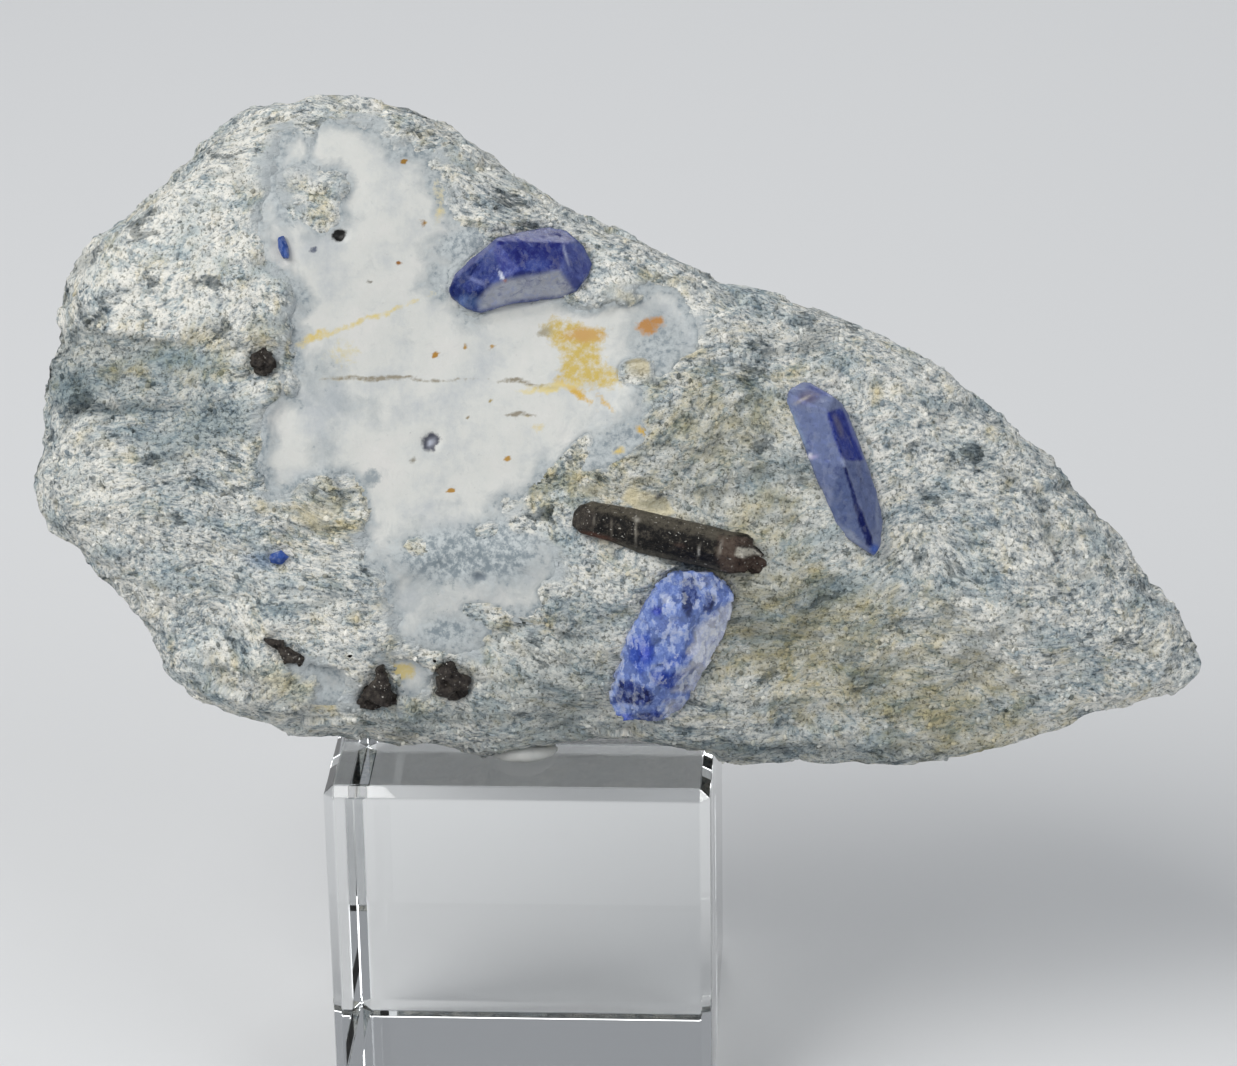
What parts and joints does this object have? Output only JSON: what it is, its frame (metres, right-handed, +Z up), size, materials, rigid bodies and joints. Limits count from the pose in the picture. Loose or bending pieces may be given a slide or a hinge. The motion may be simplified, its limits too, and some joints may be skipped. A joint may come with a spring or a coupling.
{
  "type": "benitoite with neptunite mineral specimen",
  "caption": "Broken piece of blue-grey schist with blue benitoite and black neptunite crystals in a white natrolite vein, resting on a clear cube block.",
  "frame": {"origin": "centre of the clear block's underside", "axes": "+Z up, +X along the stone's long side to the viewer's right, +Y away from the viewer"},
  "size_m": [0.1164, 0.0403, 0.0991],
  "materials": {
    "schist": "rough broken speckled schist",
    "natrolite": "smooth waxy massive natrolite",
    "benitoite": "transparent blue crystal, vitreous",
    "neptunite": "vitreous black crystal",
    "acrylic": "polished clear acrylic"
  },
  "bodies": {
    "root": {"matrix_rock": "schist", "natrolite_vein": "natrolite", "natrolite_lower": "natrolite", "natrolite_pocket_left": "natrolite", "natrolite_pocket_right": "natrolite", "natrolite_foot": "natrolite", "benitoite_upper": "benitoite", "benitoite_right": "benitoite", "benitoite_lower": "benitoite", "benitoite_speck_upper": "benitoite", "benitoite_speck_lower": "benitoite", "neptunite_prism": "neptunite", "neptunite_grain": "neptunite", "neptunite_vein": "neptunite", "neptunite_fork": "neptunite", "neptunite_cluster": "neptunite", "acrylic_block": "acrylic"}
  },
  "joints": []
}
